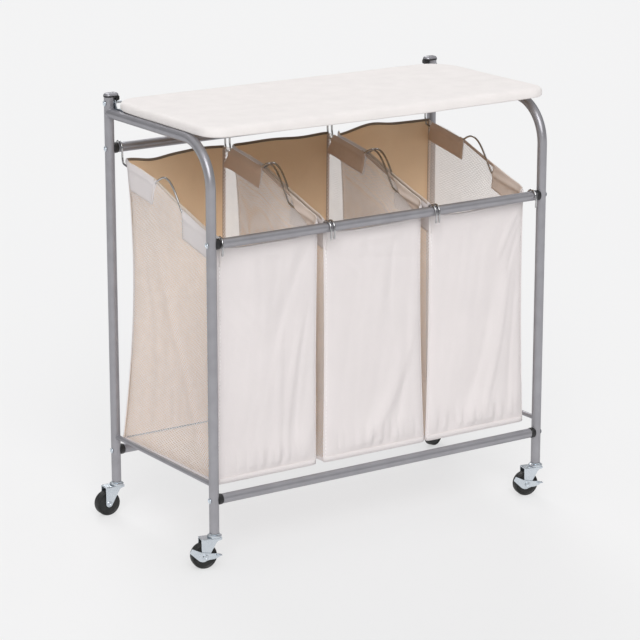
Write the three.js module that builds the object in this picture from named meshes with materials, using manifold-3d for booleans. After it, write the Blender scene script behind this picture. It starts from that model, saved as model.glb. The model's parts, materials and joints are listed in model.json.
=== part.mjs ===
// A rolling laundry sorter: a tube frame on swivel casters, three bags hung from its rails by wire rods,
// and a padded ironing board hinged to its rear posts as a lid.
// Millimetres. X runs left to right, Y front to rear and Z up. The origin is on the floor under the centre.
import * as THREE from 'three';
import { mergeVertices } from 'three/addons/utils/BufferGeometryUtils.js';
import Module from 'manifold-3d';

const wasm = await Module();
wasm.setup();

// Frame
const HALF_SPAN = 385;
const HALF_DEPTH = 186;
const TUBE_RADIUS = 9.5;
const TUBE_WALL = 1.2;
const LEG_FOOT = 67.3;
const POST_TOP = 845;
const ARM_HEIGHT = 813.5;
const BEND_RADIUS = 86;
const END_BAR_HEIGHT = 161;
const END_BAR_RADIUS = 4.8;
const RAILS = [
  { name: 'front_upper', y: -HALF_DEPTH, height: 626 },
  { name: 'front_lower', y: -HALF_DEPTH, height: 132 },
  { name: 'rear_upper', y: HALF_DEPTH, height: 744 },
  { name: 'rear_lower', y: HALF_DEPTH, height: 132 },
];
const GAP = 0.3; // left between pieces that touch

// Ferrules and bolts
const COLLAR_RADIUS = 10.4;
const COLLAR_END = 16.8; // from the leg's centre line
const COLLAR_START = 4.5;
const PLUG_RADIUS = 7.9;
const PLUG_LENGTH = 14;
const BOLT_RADIUS = 2.5;
const BOLT_HOLE_RADIUS = 2.9;
const BOLT_HEAD_RADIUS = 5.5;
const BOLT_HEAD_HEIGHT = 3.2;

// Board and hinge
const HINGE_HEIGHT = 833;
const BOARD = { left: -388, right: 398, front: -192, rear: 175.5, bottom: 823.3, top: 842.6 };
const BOARD_FRONT_CORNER = 40;
const BOARD_REAR_CORNERS = { left: 52, right: 68 }; // cut back so that the open board clears the caps
const BOARD_EDGE_RADIUS = 9.4;
const PANEL_INSET = 9;
const PANEL_THICKNESS = 8;
const CAP = { length: 29, width: 20, inset: 5, height: 5.1, corner: 8 };
const FLANGE_THICKNESS = 2.4;
// inner and outer are distances from the post's centre line
const LUG = { inner: 21, outer: 12.6, halfWidth: 6, bottom: 837.6 };
const BRACKET = { outer: 9.8, thickness: 2.5, front: 100, reach: 35, eyeRadius: 8, flange: 2.2, depth: 11 };

// Bags and rods
const BAG_PITCH = 245;
const BAG_SHIFT = -2;
const BAG_HALF_WIDTH = 115;
const BAG_HALF_DEPTH = 171.3;
const BAG_BOTTOM = 156;
const BAG_WALL = 2.2;
const BAG_RIM = [[172, 724], [100, 716], [42, 704], [-56, 670], [-120, 650], [-172, 636]];
const BAG_NAMES = ['left_bag', 'middle_bag', 'right_bag'];
const ROD_RADIUS = 2;
const HOOK_RADIUS = 12.2;
const HOOK_TIP_DROP = { front: 20, rear: 10 };
const HANDLE_ARC = [[53, 694], [40, 703], [12, 714], [-16, 702], [-50, 658]];

// Casters
const WHEEL_RADIUS = 25;
const WHEEL_HALF_WIDTH = 9;
const TREAD_HALF_WIDTH = 6;
const HUB = { radius: 8, halfWidth: 9.5 };
const WEB = { radius: 20, halfWidth: 7.5 }; // the sunk ring between the hub and the tyre
const TRAIL = 22;
const AXLE_RADIUS = 3;
const AXLE_HOLE_RADIUS = 3.4;
const AXLE_HEAD = { radius: 5.4, height: 1.8 };
const RACEWAY = { radius: 14, top: 64.6 };
const NECK_RADIUS = 10.5;
const STEM_RADIUS = 7.7;
const STEM_TOP = 93;
const FORK_TOP = 60;
const TAB_REACH = 9; // of the brake lever's foot tab, out from the lever
const FORK_FRONT = 12;
const FORK_EYE_RADIUS = 7;
const CROWN_THICKNESS = 2.2;
const PLATE_INNER = 10;
const PLATE_THICKNESS = 1.6;
const CASTERS = [
  { name: 'front_left', x: -HALF_SPAN, y: -HALF_DEPTH, yaw: -13.9, brake: true },
  { name: 'front_right', x: HALF_SPAN, y: -HALF_DEPTH, yaw: -13.9, brake: true },
  { name: 'rear_left', x: -HALF_SPAN, y: HALF_DEPTH, yaw: -3, brake: false },
  { name: 'rear_right', x: HALF_SPAN, y: HALF_DEPTH, yaw: 202, brake: false },
];

const SIDES = [{ name: 'left', sign: -1 }, { name: 'right', sign: 1 }];

const paint = new THREE.MeshStandardMaterial({ color: 0xb4b4b2, roughness: 0.45, metalness: 0.6 });
const zinc = new THREE.MeshStandardMaterial({ color: 0xc4c8cc, roughness: 0.3, metalness: 0.9 });
const chrome = new THREE.MeshStandardMaterial({ color: 0xd8d8d8, roughness: 0.15, metalness: 1 });
const blackPlastic = new THREE.MeshStandardMaterial({ color: 0x1c1c1c, roughness: 0.5, metalness: 0 });
const rubber = new THREE.MeshStandardMaterial({ color: 0x202022, roughness: 0.8, metalness: 0 });
const canvas = new THREE.MeshStandardMaterial({ color: 0xded4c6, roughness: 0.95, metalness: 0 });
const cover = new THREE.MeshStandardMaterial({ color: 0xebe6dd, roughness: 0.95, metalness: 0 });
const board = new THREE.MeshStandardMaterial({ color: 0xb99b74, roughness: 0.8, metalness: 0 });

// Booleans

function toSolid(geometry) {
  const bare = geometry.clone();
  bare.deleteAttribute('normal');
  bare.deleteAttribute('uv');
  const merged = mergeVertices(bare, 1e-4);
  return new wasm.Manifold(new wasm.Mesh({
    numProp: 3,
    vertProperties: new Float32Array(merged.attributes.position.array),
    triVerts: new Uint32Array(merged.index.array),
  }));
}

function toGeometry(solid) {
  const mesh = solid.getMesh();
  const geometry = new THREE.BufferGeometry();
  geometry.setAttribute('position', new THREE.BufferAttribute(mesh.vertProperties, 3));
  geometry.setIndex(new THREE.BufferAttribute(mesh.triVerts, 1));
  geometry.computeVertexNormals();
  return geometry;
}

function cut(geometry, tools) {
  return toGeometry(tools.reduce((solid, tool) => solid.subtract(toSolid(tool)), toSolid(geometry)));
}

function join(geometries) {
  return toGeometry(geometries.map(toSolid).reduce((whole, piece) => whole.add(piece)));
}

// Basic shapes

function rod(axis, radius, from, to, sides, at = [0, 0, 0]) {
  const geometry = new THREE.CylinderGeometry(radius, radius, to - from, sides);
  if (axis === 'x') geometry.rotateZ(-Math.PI / 2);
  if (axis === 'z') geometry.rotateX(Math.PI / 2);
  const middle = (from + to) / 2;
  const along = { x: [middle, 0, 0], y: [0, middle, 0], z: [0, 0, middle] }[axis];
  return geometry.translate(at[0] + along[0], at[1] + along[1], at[2] + along[2]);
}

function box(low, high) {
  const size = high.map((value, i) => value - low[i]);
  const geometry = new THREE.BoxGeometry(...size);
  return geometry.translate(...low.map((value, i) => value + size[i] / 2));
}

// A plate whose outline is given in the Y-Z plane, from x0 to x1
function plateAlongX(points, x0, x1) {
  const shape = new THREE.Shape(points.map(([y, z]) => new THREE.Vector2(y, z)));
  const geometry = new THREE.ExtrudeGeometry(shape, { depth: x1 - x0, bevelEnabled: false });
  const turn = new THREE.Matrix4().makeBasis(
    new THREE.Vector3(0, 1, 0), new THREE.Vector3(0, 0, 1), new THREE.Vector3(1, 0, 0));
  return geometry.applyMatrix4(turn).translate(x0, 0, 0);
}

// A plate whose outline is given in the X-Z plane, from y0 to y1
function plateAlongY(points, y0, y1) {
  const shape = new THREE.Shape(points.map(([x, z]) => new THREE.Vector2(x, z)));
  const geometry = new THREE.ExtrudeGeometry(shape, { depth: y1 - y0, bevelEnabled: false });
  return geometry.rotateX(Math.PI / 2).translate(0, y1, 0);
}

// A rectangle with round corners, whose radii are given front right first, then anticlockwise
function roundedOutline(left, right, front, rear, radii) {
  const corners = [[right, front], [right, rear], [left, rear], [left, front]];
  const inward = [[-1, 1], [-1, -1], [1, -1], [1, 1]];
  const shape = new THREE.Shape();
  corners.forEach(([x, y], i) => {
    const start = (i - 1) * (Math.PI / 2);
    const centre = [x + inward[i][0] * radii[i], y + inward[i][1] * radii[i]];
    shape.absarc(...centre, radii[i], start, start + Math.PI / 2);
  });
  shape.closePath();
  return shape;
}

function slab(shape, bottom, top, curveSegments = 4) {
  const settings = { depth: top - bottom, bevelEnabled: false, curveSegments };
  return new THREE.ExtrudeGeometry(shape, settings).translate(0, 0, bottom);
}

// A path with one section at each of its points
class BentPath extends THREE.Curve {
  constructor(points) {
    super();
    this.points = points;
  }

  getPoint(t, target = new THREE.Vector3()) {
    const place = t * (this.points.length - 1);
    const i = Math.min(Math.floor(place), this.points.length - 2);
    return target.lerpVectors(this.points[i], this.points[i + 1], place - i);
  }

  getUtoTmapping(u) {
    return u;
  }
}

function sweep(section, points) {
  const extrudePath = new BentPath(points);
  return new THREE.ExtrudeGeometry(section, { extrudePath, steps: points.length - 1, bevelEnabled: false });
}

function circlePath(radius, sides, PathClass) {
  const ring = Array.from({ length: sides }, (_, i) => {
    const angle = (i / sides) * 2 * Math.PI;
    return new THREE.Vector2(radius * Math.cos(angle), radius * Math.sin(angle));
  });
  return new PathClass(ring);
}

function tubeSection(radius, wall, sides) {
  const section = circlePath(radius, sides, THREE.Shape);
  section.holes.push(circlePath(radius - wall, sides, THREE.Path));
  return section;
}

// Points of an arc in the Y-Z plane, at x
function arc(x, y, z, radius, fromDegrees, toDegrees, steps) {
  return Array.from({ length: steps + 1 }, (_, i) => {
    const angle = THREE.MathUtils.degToRad(fromDegrees + ((toDegrees - fromDegrees) * i) / steps);
    return new THREE.Vector3(x, y + radius * Math.cos(angle), z + radius * Math.sin(angle));
  });
}

const cart = new THREE.Group();

function place(name, geometry, material, parent = cart) {
  const mesh = new THREE.Mesh(geometry, material);
  mesh.name = name;
  parent.add(mesh);
  return mesh;
}

// Frame

function drill(x, y, height) {
  return rod('x', BOLT_HOLE_RADIUS, x - 2 * TUBE_RADIUS, x + 2 * TUBE_RADIUS, 8, [0, y, height]);
}

function railHoles(x, y) {
  return RAILS.filter((rail) => rail.y === y).map((rail) => drill(x, y, rail.height));
}

function endTube(x) {
  const bendY = -HALF_DEPTH + BEND_RADIUS;
  const bendZ = ARM_HEIGHT - BEND_RADIUS;
  const points = [
    new THREE.Vector3(x, -HALF_DEPTH, LEG_FOOT),
    ...arc(x, bendY, bendZ, BEND_RADIUS, 180, 90, 7),
    new THREE.Vector3(x, HALF_DEPTH - TUBE_RADIUS - GAP, ARM_HEIGHT),
  ];
  return cut(sweep(tubeSection(TUBE_RADIUS, TUBE_WALL, 14), points), railHoles(x, -HALF_DEPTH));
}

function rearPost(x) {
  const points = [LEG_FOOT, POST_TOP].map((z) => new THREE.Vector3(x, HALF_DEPTH, z));
  const holes = [...railHoles(x, HALF_DEPTH), drill(x, HALF_DEPTH, HINGE_HEIGHT)];
  return cut(sweep(tubeSection(TUBE_RADIUS, TUBE_WALL, 14), points), holes);
}

function rail() {
  const end = HALF_SPAN - COLLAR_END - GAP;
  const points = [-end, end].map((x) => new THREE.Vector3(x, 0, 0));
  return sweep(tubeSection(TUBE_RADIUS, TUBE_WALL, 14), points);
}

// Round the X axis, from the leg at x = 0 towards +X
function ferrule() {
  const collar = rod('x', COLLAR_RADIUS, COLLAR_START, COLLAR_END, 14);
  const plug = rod('x', PLUG_RADIUS, COLLAR_END - 1, COLLAR_END + PLUG_LENGTH, 10);
  const leg = rod('z', TUBE_RADIUS + 2 * GAP, -2 * COLLAR_RADIUS, 2 * COLLAR_RADIUS, 14);
  const hole = rod('x', BOLT_HOLE_RADIUS, 0, COLLAR_END + PLUG_LENGTH - 2, 8);
  return cut(join([collar, plug]), [leg, hole]);
}

// From the leg's outer face at x = -TUBE_RADIUS to x = end, through a leg at x = 0
function bolt(end) {
  const face = TUBE_RADIUS + GAP;
  const profile = [
    [0, -face - BOLT_HEAD_HEIGHT],
    [BOLT_HEAD_RADIUS * 0.6, -face - BOLT_HEAD_HEIGHT * 0.85],
    [BOLT_HEAD_RADIUS, -face - BOLT_HEAD_HEIGHT * 0.25],
    [BOLT_HEAD_RADIUS, -face],
    [BOLT_RADIUS, -face],
    [BOLT_RADIUS, end],
    [0, end],
  ].map(([r, along]) => new THREE.Vector2(r, along));
  return new THREE.LatheGeometry(profile, 8).rotateZ(-Math.PI / 2);
}

function buildFrame() {
  for (const { name, sign } of SIDES) {
    const x = sign * HALF_SPAN;
    place(`${name}_end_tube`, endTube(x), paint);
    place(`${name}_rear_post`, rearPost(x), paint);
    const barEnd = HALF_DEPTH - TUBE_RADIUS - GAP;
    place(`${name}_lower_bar`, rod('y', END_BAR_RADIUS, -barEnd, barEnd, 12, [x, 0, END_BAR_HEIGHT]), paint);
  }
  for (const { name, y, height } of RAILS) {
    place(`${name}_rail`, rail(), paint).position.set(0, y, height);
    for (const side of SIDES) {
      const turn = side.sign > 0 ? Math.PI : 0;
      const collar = place(`${name}_${side.name}_ferrule`, ferrule(), blackPlastic);
      const screw = place(`${name}_${side.name}_bolt`, bolt(COLLAR_END + PLUG_LENGTH - 5), zinc);
      for (const piece of [collar, screw]) {
        piece.position.set(side.sign * HALF_SPAN, y, height);
        piece.rotation.z = turn;
      }
    }
  }
}

// Tops of the rear posts

function capOutline(grow = 0) {
  const halfLength = CAP.length / 2 + grow;
  const halfWidth = CAP.width / 2 + grow;
  return roundedOutline(-halfLength, halfLength, -halfWidth, halfWidth, Array(4).fill(CAP.corner + grow));
}

function postCap() {
  const round = CAP.height - 0.6;
  const dome = new THREE.ExtrudeGeometry(capOutline(-round), {
    depth: 0.6, bevelThickness: round, bevelSize: round, bevelSegments: 3, curveSegments: 3 });
  return cut(dome, [box([-40, -40, -40], [40, 40, 0])]);
}

function hingeStop(sign) {
  const flange = slab(capOutline(), POST_TOP + GAP, POST_TOP + GAP + FLANGE_THICKNESS, 3);
  flange.translate(sign * (HALF_SPAN - CAP.inset), HALF_DEPTH, 0);
  const lugTop = POST_TOP + GAP + FLANGE_THICKNESS / 2;
  const lug = plateAlongY([[LUG.outer, LUG.bottom + 2], [LUG.inner, LUG.bottom], [LUG.inner, lugTop],
    [LUG.outer, lugTop]], -LUG.halfWidth, LUG.halfWidth);
  if (sign > 0) lug.rotateZ(Math.PI);
  lug.translate(sign * HALF_SPAN, HALF_DEPTH, 0);
  const plug = rod('z', PLUG_RADIUS, POST_TOP - 6, lugTop, 12, [sign * HALF_SPAN, HALF_DEPTH, 0]);
  return join([flange, lug, plug]);
}

function buildPostTops() {
  for (const { name, sign } of SIDES) {
    place(`${name}_hinge_stop`, hingeStop(sign), blackPlastic);
    const cap = place(`${name}_post_cap`, postCap(), paint);
    cap.position.set(sign * (HALF_SPAN - CAP.inset), HALF_DEPTH, POST_TOP + 2 * GAP + FLANGE_THICKNESS);
    const pin = place(`${name}_hinge_bolt`, bolt(BRACKET.outer + BRACKET.thickness + 3), zinc);
    pin.position.set(sign * HALF_SPAN, HALF_DEPTH, HINGE_HEIGHT);
    pin.rotation.z = sign > 0 ? Math.PI : 0;
  }
}

// Board

function boardOutline(inset) {
  const radii = [BOARD_FRONT_CORNER, BOARD_REAR_CORNERS.right, BOARD_REAR_CORNERS.left, BOARD_FRONT_CORNER];
  return roundedOutline(BOARD.left + inset, BOARD.right - inset, BOARD.front + inset, BOARD.rear - inset,
    radii.map((radius) => radius - inset));
}

function boardPad() {
  const depth = BOARD.top - BOARD.bottom - 2 * BOARD_EDGE_RADIUS;
  const edge = { bevelThickness: BOARD_EDGE_RADIUS, bevelSize: BOARD_EDGE_RADIUS, bevelSegments: 2 };
  const pad = new THREE.ExtrudeGeometry(boardOutline(BOARD_EDGE_RADIUS), { depth, curveSegments: 4, ...edge });
  pad.translate(0, 0, BOARD.bottom + BOARD_EDGE_RADIUS);
  const recessTop = BOARD.bottom + PANEL_THICKNESS + GAP;
  const recess = slab(boardOutline(PANEL_INSET - GAP), BOARD.bottom - 1, recessTop);
  return cut(pad, [recess]);
}

function hingeBracket(sign) {
  const top = BOARD.bottom - GAP;
  const eye = Array.from({ length: 13 }, (_, i) => {
    const angle = THREE.MathUtils.degToRad(-75 + i * 15);
    const radius = BRACKET.eyeRadius;
    return [HALF_DEPTH + radius * Math.cos(angle), HINGE_HEIGHT + radius * Math.sin(angle)];
  });
  const neckY = HALF_DEPTH - BRACKET.eyeRadius;
  const outline = [
    ...eye,
    [neckY + 0.8, HINGE_HEIGHT + BRACKET.eyeRadius * 0.3],
    [neckY - 4, top],
    [BRACKET.front, top],
    [BRACKET.front, top - BRACKET.depth],
    [neckY, top - BRACKET.depth],
  ];
  const lug = plateAlongX(outline, BRACKET.outer, BRACKET.outer + BRACKET.thickness);
  const flange = box([BRACKET.outer, BRACKET.front, top - BRACKET.flange], [BRACKET.reach, neckY - 8, top]);
  const eyeHole = rod('x', BOLT_HOLE_RADIUS, 0, BRACKET.reach, 12, [0, HALF_DEPTH, HINGE_HEIGHT]);
  const bracket = toSolid(cut(join([lug, flange]), [eyeHole])).translate(-HALF_SPAN, 0, 0);
  return toGeometry(sign < 0 ? bracket : bracket.mirror([1, 0, 0]));
}

function buildBoard() {
  place('board_pad', boardPad(), cover);
  place('board_panel', slab(boardOutline(PANEL_INSET), BOARD.bottom, BOARD.bottom + PANEL_THICKNESS), board);
  for (const { name, sign } of SIDES) {
    place(`${name}_hinge_bracket`, hingeBracket(sign), zinc);
  }
}

// Bags and their rods

function bag() {
  const clamp = (y, limit) => Math.max(-limit, Math.min(limit, y));
  const outer = [...BAG_RIM.map(([y, z]) => [clamp(y, BAG_HALF_DEPTH), z]),
    [-BAG_HALF_DEPTH, BAG_BOTTOM], [BAG_HALF_DEPTH, BAG_BOTTOM]];
  const inside = box(
    [-BAG_HALF_WIDTH + BAG_WALL, -BAG_HALF_DEPTH + BAG_WALL, BAG_BOTTOM + BAG_WALL],
    [BAG_HALF_WIDTH - BAG_WALL, BAG_HALF_DEPTH - BAG_WALL, POST_TOP]);
  return cut(plateAlongX(outer, -BAG_HALF_WIDTH, BAG_HALF_WIDTH), [inside]);
}

// A hook over the rail, as points from the bag's side of it to the hook's tip
function hook(railPlace, startDegrees) {
  const outward = Math.sign(railPlace.y);
  const tipY = railPlace.y + outward * HOOK_RADIUS;
  const drop = outward > 0 ? HOOK_TIP_DROP.rear : HOOK_TIP_DROP.front;
  const start = outward > 0 ? 180 - startDegrees : startDegrees;
  const end = outward > 0 ? 0 : 180;
  return [
    ...arc(0, railPlace.y, railPlace.height, HOOK_RADIUS, start, end, 7),
    new THREE.Vector3(0, tipY + outward, railPlace.height - drop * 0.4),
    new THREE.Vector3(0, tipY, railPlace.height - drop),
  ];
}

function bagRod() {
  const [frontRail, rearRail] = [RAILS[0], RAILS[2]];
  const rearHook = hook(rearRail, 0).reverse();
  const frontHook = hook(frontRail, 12);
  const run = [[172.5, 722], [164, 712.5], [120, 708], [70, 700], ...HANDLE_ARC, [-60, 648], [-80, 643],
    [-130, 634], [-163, 626.5], [-172, 626]].map(([y, z]) => new THREE.Vector3(0, y, z));
  const curve = new THREE.CatmullRomCurve3([rearHook.at(-1), ...run, frontHook[0]], false, 'centripetal');
  const middle = curve.getSpacedPoints(26).slice(1, -1);
  return sweep(circlePath(ROD_RADIUS, 5, THREE.Shape), [...rearHook, ...middle, ...frontHook]);
}

function buildBags() {
  BAG_NAMES.forEach((name, i) => {
    const centre = BAG_SHIFT + (i - 1) * BAG_PITCH;
    place(name, bag(), canvas).position.x = centre;
    for (const side of SIDES) {
      const wire = place(`${name}_${side.name}_rod`, bagRod(), chrome);
      wire.position.x = centre + side.sign * (BAG_HALF_WIDTH + GAP + ROD_RADIUS);
    }
  });
}

// Casters, each built with its stem on the Z axis and its wheel trailing towards -X

function wheel() {
  const near = [
    [AXLE_HOLE_RADIUS, -HUB.halfWidth],
    [HUB.radius, -HUB.halfWidth],
    [HUB.radius + 1, -WEB.halfWidth],
    [WEB.radius, -WEB.halfWidth],
    [WEB.radius + 2, -WHEEL_HALF_WIDTH],
    [WHEEL_RADIUS, -TREAD_HALF_WIDTH],
  ];
  const far = near.map(([r, y]) => [r, -y]).reverse();
  const loop = [...near, ...far, near[0]];
  return new THREE.LatheGeometry(loop.map(([r, y]) => new THREE.Vector2(r, y)), 20);
}

function fork() {
  const back = -TRAIL - FORK_EYE_RADIUS;
  const eye = Array.from({ length: 6 }, (_, i) => {
    const angle = THREE.MathUtils.degToRad(180 + i * 28);
    return [FORK_EYE_RADIUS * Math.cos(angle) - TRAIL, FORK_EYE_RADIUS * Math.sin(angle) + WHEEL_RADIUS];
  });
  const outline = [[FORK_FRONT, FORK_TOP], [back, FORK_TOP], ...eye,
    [FORK_FRONT - 11, FORK_TOP - 9], [FORK_FRONT, FORK_TOP - 4]];
  const plates = [-1, 1].map((sign) => {
    const faces = [sign * PLATE_INNER, sign * (PLATE_INNER + PLATE_THICKNESS)].sort((a, b) => a - b);
    return plateAlongY(outline, ...faces);
  });
  const across = PLATE_INNER + PLATE_THICKNESS;
  const crown = box([back, -across, FORK_TOP - CROWN_THICKNESS], [FORK_FRONT, across, FORK_TOP]);
  const raceway = rod('z', RACEWAY.radius, FORK_TOP - 1, RACEWAY.top, 16);
  const neck = rod('z', NECK_RADIUS, RACEWAY.top - 0.6, LEG_FOOT - GAP, 12);
  const stem = rod('z', STEM_RADIUS, LEG_FOOT - 2, STEM_TOP, 12);
  const hole = rod('y', AXLE_HOLE_RADIUS, -2 * across, 2 * across, 10, [-TRAIL, 0, WHEEL_RADIUS]);
  return cut(join([...plates, crown, raceway, neck, stem]), [hole]);
}

function axle(brake) {
  const outer = PLATE_INNER + PLATE_THICKNESS + GAP;
  const front = brake ? outer + PLATE_THICKNESS + 2 * GAP : outer;
  const { radius, height } = AXLE_HEAD;
  const profile = [
    [0, -front - height],
    [radius - 0.8, -front - height + 0.2],
    [radius, -front],
    [AXLE_RADIUS, -front],
    [AXLE_RADIUS, outer],
    [radius, outer],
    [radius - 0.8, outer + height - 0.2],
    [0, outer + height],
  ];
  return new THREE.LatheGeometry(profile.map(([r, y]) => new THREE.Vector2(r, y)), 8);
}

// Round the axle at the origin, in front of the fork's front plate
function brakeLever() {
  const back = -(PLATE_INNER + PLATE_THICKNESS + GAP);
  const front = back - PLATE_THICKNESS;
  const outline = [[-30.8, 11.5], [-19.9, 0.6], [-9.6, -8.1], [-1.3, -9.4], [8.3, -6.2], [18, -5.6], [26, -3],
    [31, 0.5], [31, 3.5], [24, 5], [13.5, 6.2], [0, 8.7], [-8.3, 10.6], [-26.3, 19.3]];
  const arm = plateAlongY(outline, front, back);
  const tab = box([20, front - TAB_REACH, 2.6], [31, front + 0.5, 4.2]);
  return cut(join([arm, tab]), [rod('y', AXLE_HOLE_RADIUS, front - 9, back + 1, 12)]);
}

function buildCasters() {
  for (const { name, x, y, yaw, brake } of CASTERS) {
    const caster = new THREE.Group();
    caster.position.set(x, y, 0);
    caster.rotation.z = THREE.MathUtils.degToRad(yaw);
    cart.add(caster);
    place(`${name}_fork`, fork(), zinc, caster);
    const turning = [
      place(`${name}_wheel`, wheel(), rubber, caster),
      place(`${name}_axle`, axle(brake), zinc, caster),
    ];
    if (brake) turning.push(place(`${name}_brake_lever`, brakeLever(), zinc, caster));
    for (const piece of turning) piece.position.set(-TRAIL, 0, WHEEL_RADIUS);
  }
}

buildFrame();
buildPostTops();
buildBoard();
buildBags();
buildCasters();

export default cart;
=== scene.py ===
import json
import math

import bmesh
import bpy
from mathutils import Matrix, Vector, noise
from mathutils.geometry import delaunay_2d_cdt


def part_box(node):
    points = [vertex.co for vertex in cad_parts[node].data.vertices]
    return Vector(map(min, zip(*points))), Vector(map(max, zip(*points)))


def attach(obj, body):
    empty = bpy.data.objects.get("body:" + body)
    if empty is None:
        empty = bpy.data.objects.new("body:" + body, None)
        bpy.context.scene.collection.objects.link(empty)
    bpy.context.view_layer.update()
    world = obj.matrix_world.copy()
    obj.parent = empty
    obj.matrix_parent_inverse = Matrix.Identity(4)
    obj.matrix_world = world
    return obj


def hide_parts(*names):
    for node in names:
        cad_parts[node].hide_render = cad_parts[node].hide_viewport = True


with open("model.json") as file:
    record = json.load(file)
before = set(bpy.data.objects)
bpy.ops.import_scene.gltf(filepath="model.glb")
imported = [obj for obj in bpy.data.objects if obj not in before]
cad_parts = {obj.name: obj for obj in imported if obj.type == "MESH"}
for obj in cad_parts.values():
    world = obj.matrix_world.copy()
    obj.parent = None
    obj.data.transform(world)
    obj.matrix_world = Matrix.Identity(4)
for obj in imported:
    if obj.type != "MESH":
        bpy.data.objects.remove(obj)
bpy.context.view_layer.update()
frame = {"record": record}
MM = 0.001
UP = Vector((0, 0, 1))
SIDES = (("left", -1), ("right", 1))
RAILS = ("front_upper", "front_lower", "rear_upper", "rear_lower")
BAGS = ("left_bag", "middle_bag", "right_bag")
JOINTS = {joint["name"]: joint for joint in frame["record"]["behaviour"]["joints"]}


# ---- sizes, in millimetres

TUBE_RADIUS = 9.5
TUBE_WALL = 1.2
BEND_RADIUS = 86
END_BAR_RADIUS = 4.8
FERRULE_RADIUS = 10.4
POST_TOP = 845
CAP_CORNER = 8
STOP_FLANGE = 2.6

# corner radii of the board from front right anticlockwise, and the radii of the cover's edges
BOARD_RADII = (40, 68, 52, 40)
EDGE = 9.4
LOW_EDGE = 4.0
HEM_INSET = 30
PANEL_INSET = 11
FIELD_STEP = 16

# side views as (y, z) points from rear to front: the rods, and the rim of the bags' sides
ROD_REAR = ((172.5, 722), (164, 712.5), (120, 708), (70, 700))
HANDLE_ARC = ((53, 694), (40, 703), (12, 714), (-16, 702), (-50, 658))
ROD_FRONT = ((-60, 648), (-80, 643), (-130, 634), (-163, 626.5), (-172, 626))
RIM = ((172, 724), (100, 716), (42, 704), (-56, 670), (-120, 650), (-172, 636))
ROD_RADIUS = 2
HOOK_RADIUS = 12.2
HOOK_TIP_DROP = {"front": 20, "rear": 10}

# how far each rod's front hook leans sideways at its tip
HOOK_LEANS = {"left_bag_left": -4, "left_bag_right": 2.5, "middle_bag_left": -0.5, "middle_bag_right": 2.5,
              "right_bag_left": -0.5, "right_bag_right": 2.5}

FRONT_RIM_HEIGHT = 637
FRONT_SAG = 27
REAR_RIM_HEIGHT = 724
REAR_TUCK = 13.5
FOLD_SHARE = 0.62
CANVAS_THICKNESS = 0.9
STITCH_PITCH = 5.2
STITCH_RADIUS = 0.55

# corner patches as (y, z) corners: rim rear, rim front, lower front, lower rear;
# "end" is the right side of the right bag
PATCHES = {
    "left": {"rear": ((171, 724), (42, 705), (70, 651), (153, 664)),
             "front": ((-54, 671), (-171, 637), (-171, 577), (-42, 606))},
    "right": {"rear": ((149, 722), (38, 703), (48, 659), (171, 682)),
              "front": ((-58, 670), (-160, 640), (-160, 599), (-78, 646))},
    "end": {"rear": ((149, 722), (38, 703), (44, 660), (171, 682)),
            "front": ((-62, 668), (-160, 640), (-160, 590), (-57, 619))},
}

WHEEL_RADIUS = 25
WHEEL_HALF_WIDTH = 9
FORK_TOP = 60
PLATE_INNER = 10
PLATE_THICKNESS = 1.6

# the net's pitch is in metres, and a yarn's width is a share of it
NET_PITCH = 0.0046
NET_YARN = 0.33

# sky brightness as (height, tone), then the strength of the sky and of the two lights
SKY_TONES = ((0.0, 0.35), (0.20, 0.60), (0.5, 0.9), (0.68, 1.6), (1.0, 1.9))
SKY_STRENGTH = 0.39
KEY_STRENGTH = 1.9
BACK_STRENGTH = 0.85

# the camera: degrees, metres, and millimetres of lens
CAMERA_AZIMUTH = -33.86
CAMERA_DOWN = 15.14
CAMERA_AIM = (-0.0137, 0.0092, 0.3837)
CAMERA_DISTANCE = 5.3618
CAMERA_LENS = 151.48


# ---- places, in millimetres, from the frame

def node_box(node):
    low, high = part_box(node)
    return Vector(low) / MM, Vector(high) / MM


def node_centre(node):
    low, high = node_box(node)
    return (low + high) / 2


def joint_place(joint):
    return Vector(JOINTS[joint]["pos_m"]) / MM


HINGE_HEIGHT = joint_place("board_hinge").z
HALF_DEPTH = node_centre("left_rear_post").y
HALF_SPAN = node_centre("right_rear_post").x
LEG_FOOT = node_box("left_rear_post")[0].z
ARM_HEIGHT = node_box("left_end_tube")[1].z - TUBE_RADIUS
RAIL_HEIGHT = {rail: node_centre(f"{rail}_rail").z for rail in RAILS}
BOARD_LOW, BOARD_HIGH = node_box("board_pad")
BOARD_BOTTOM = node_box("board_panel")[0].z
TRAIL = (joint_place("front_left_roll") - joint_place("front_left_swivel")).xy.length


# ---- shader nodes

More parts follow.
